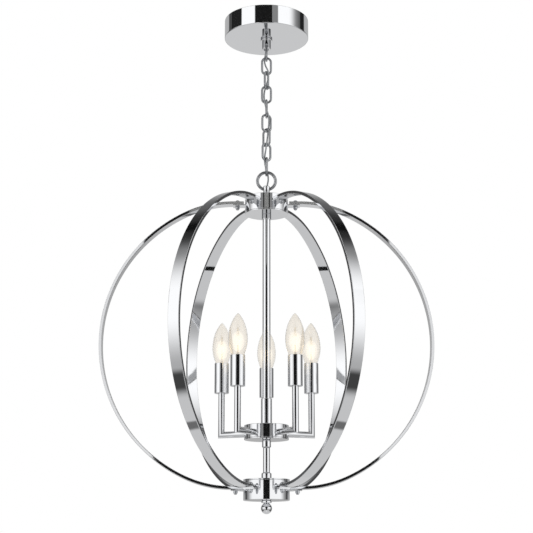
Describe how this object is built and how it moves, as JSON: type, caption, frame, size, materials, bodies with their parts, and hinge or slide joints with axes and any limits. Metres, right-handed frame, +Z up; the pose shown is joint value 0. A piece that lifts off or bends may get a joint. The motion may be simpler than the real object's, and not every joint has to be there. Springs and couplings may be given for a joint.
{
  "type": "orb chandelier",
  "caption": "Polished orb chandelier: curved strap bands around a candle-arm cluster, hung from a drum canopy by a chain.",
  "frame": {"origin": "centre of the ceiling plane, on the axis of the canopy and nipple", "axes": "+Z up, +X to the right and -Y towards the viewer of the reference view"},
  "size_m": [0.6078, 0.5372, 0.9325],
  "materials": {
    "polished_chrome": "polished",
    "zinc_steel": "zinc plated",
    "holder_plastic": "moulded",
    "lead_insulation": "smooth",
    "clear_cord": "clear over tinned strands",
    "bulb_base_brass": "bright",
    "clear_glass": "clear"
  },
  "bodies": {
    "canopy_body": {"crossbar": "zinc_steel", "nipple": "zinc_steel", "nipple_nuts": "zinc_steel", "canopy": "polished_chrome", "loop_collar": "polished_chrome", "loop_holder": "polished_chrome", "holder_pin": "polished_chrome", "supply_cord": "clear_cord"},
    "chain_link_1_body": {"chain_link_1": "polished_chrome"},
    "chain_link_2_body": {"chain_link_2": "polished_chrome"},
    "chain_link_3_body": {"chain_link_3": "polished_chrome"},
    "chain_link_4_body": {"chain_link_4": "polished_chrome"},
    "chain_link_5_body": {"chain_link_5": "polished_chrome"},
    "chain_link_6_body": {"chain_link_6": "polished_chrome"},
    "chain_link_7_body": {"chain_link_7": "polished_chrome"},
    "chain_link_8_body": {"chain_link_8": "polished_chrome"},
    "chain_link_9_body": {"chain_link_9": "polished_chrome"},
    "ring_body": {"hang_ring": "polished_chrome"},
    "orb_body": {"eye_stem": "polished_chrome", "top_hub": "polished_chrome", "top_hub_plate": "polished_chrome", "rod_collar": "polished_chrome", "main_rod": "polished_chrome", "column": "polished_chrome", "socket_hub": "polished_chrome", "socket_hub_cover": "polished_chrome", "lower_stem": "polished_chrome", "bottom_hub": "polished_chrome", "bottom_hub_plate": "polished_chrome", "finial": "polished_chrome", "band_1": "polished_chrome", "band_2": "polished_chrome", "band_3": "polished_chrome", "band_4": "polished_chrome", "band_5": "polished_chrome", "band_6": "polished_chrome", "band_bolts": "polished_chrome", "band_nuts": "polished_chrome", "arm_1": "polished_chrome", "arm_2": "polished_chrome", "arm_3": "polished_chrome", "arm_4": "polished_chrome", "arm_5": "polished_chrome", "candle_sleeve_1": "polished_chrome", "candle_sleeve_2": "polished_chrome", "candle_sleeve_3": "polished_chrome", "candle_sleeve_4": "polished_chrome", "candle_sleeve_5": "polished_chrome", "lampholders": "holder_plastic", "arm_leads": "lead_insulation"},
    "bulb_1_body": {"bulb_base_1": "bulb_base_brass", "bulb_glass_1": "clear_glass"},
    "bulb_2_body": {"bulb_base_2": "bulb_base_brass", "bulb_glass_2": "clear_glass"},
    "bulb_3_body": {"bulb_base_3": "bulb_base_brass", "bulb_glass_3": "clear_glass"},
    "bulb_4_body": {"bulb_base_4": "bulb_base_brass", "bulb_glass_4": "clear_glass"},
    "bulb_5_body": {"bulb_base_5": "bulb_base_brass", "bulb_glass_5": "clear_glass"}
  },
  "joints": [
    {"name": "link_1_swing", "type": "hinge", "parent": "canopy_body", "child": "chain_link_1_body", "pos_m": [0, 0, -0.0505], "axis": [1, 0, 0], "range_deg": [-8, 8], "deforming": ["supply_cord"]},
    {"name": "link_2_swing", "type": "hinge", "parent": "chain_link_1_body", "child": "chain_link_2_body", "pos_m": [0, 0, -0.0792], "axis": [0, 1, 0], "range_deg": [-8, 8]},
    {"name": "link_3_swing", "type": "hinge", "parent": "chain_link_2_body", "child": "chain_link_3_body", "pos_m": [0, 0, -0.1078], "axis": [0.9962, 0.0872, 0], "range_deg": [-8, 8]},
    {"name": "link_4_swing", "type": "hinge", "parent": "chain_link_3_body", "child": "chain_link_4_body", "pos_m": [0, 0, -0.1364], "axis": [0.3746, 0.9272, 0], "range_deg": [-8, 8]},
    {"name": "link_5_swing", "type": "hinge", "parent": "chain_link_4_body", "child": "chain_link_5_body", "pos_m": [0, 0, -0.165], "axis": [0.9994, -0.0349, 0], "range_deg": [-8, 8]},
    {"name": "link_6_swing", "type": "hinge", "parent": "chain_link_5_body", "child": "chain_link_6_body", "pos_m": [0, 0, -0.1936], "axis": [0.0349, 0.9994, 0], "range_deg": [-8, 8]},
    {"name": "link_7_swing", "type": "hinge", "parent": "chain_link_6_body", "child": "chain_link_7_body", "pos_m": [0, 0, -0.2222], "axis": [0.9397, 0.342, 0], "range_deg": [-8, 8]},
    {"name": "link_8_swing", "type": "hinge", "parent": "chain_link_7_body", "child": "chain_link_8_body", "pos_m": [0, 0, -0.2508], "axis": [0.7071, -0.7071, 0], "range_deg": [-8, 8]},
    {"name": "link_9_swing", "type": "hinge", "parent": "chain_link_8_body", "child": "chain_link_9_body", "pos_m": [0, 0, -0.2794], "axis": [0.866, 0.5, 0], "range_deg": [-8, 8]},
    {"name": "ring_swing", "type": "hinge", "parent": "chain_link_9_body", "child": "ring_body", "pos_m": [0, 0, -0.308], "axis": [-0.0872, 0.9962, 0], "range_deg": [-8, 8]},
    {"name": "orb_swing", "type": "hinge", "parent": "ring_body", "child": "orb_body", "pos_m": [0, 0, -0.3364], "axis": [1, 0, 0], "range_deg": [-8, 8]},
    {"name": "bulb_1_lift", "type": "slide", "parent": "orb_body", "child": "bulb_1_body", "axis": [0, 0, 1], "range_m": [0, 0.045]},
    {"name": "bulb_2_lift", "type": "slide", "parent": "orb_body", "child": "bulb_2_body", "axis": [0, 0, 1], "range_m": [0, 0.045]},
    {"name": "bulb_3_lift", "type": "slide", "parent": "orb_body", "child": "bulb_3_body", "axis": [0, 0, 1], "range_m": [0, 0.045]},
    {"name": "bulb_4_lift", "type": "slide", "parent": "orb_body", "child": "bulb_4_body", "axis": [0, 0, 1], "range_m": [0, 0.045]},
    {"name": "bulb_5_lift", "type": "slide", "parent": "orb_body", "child": "bulb_5_body", "axis": [0, 0, 1], "range_m": [0, 0.045]}
  ]
}
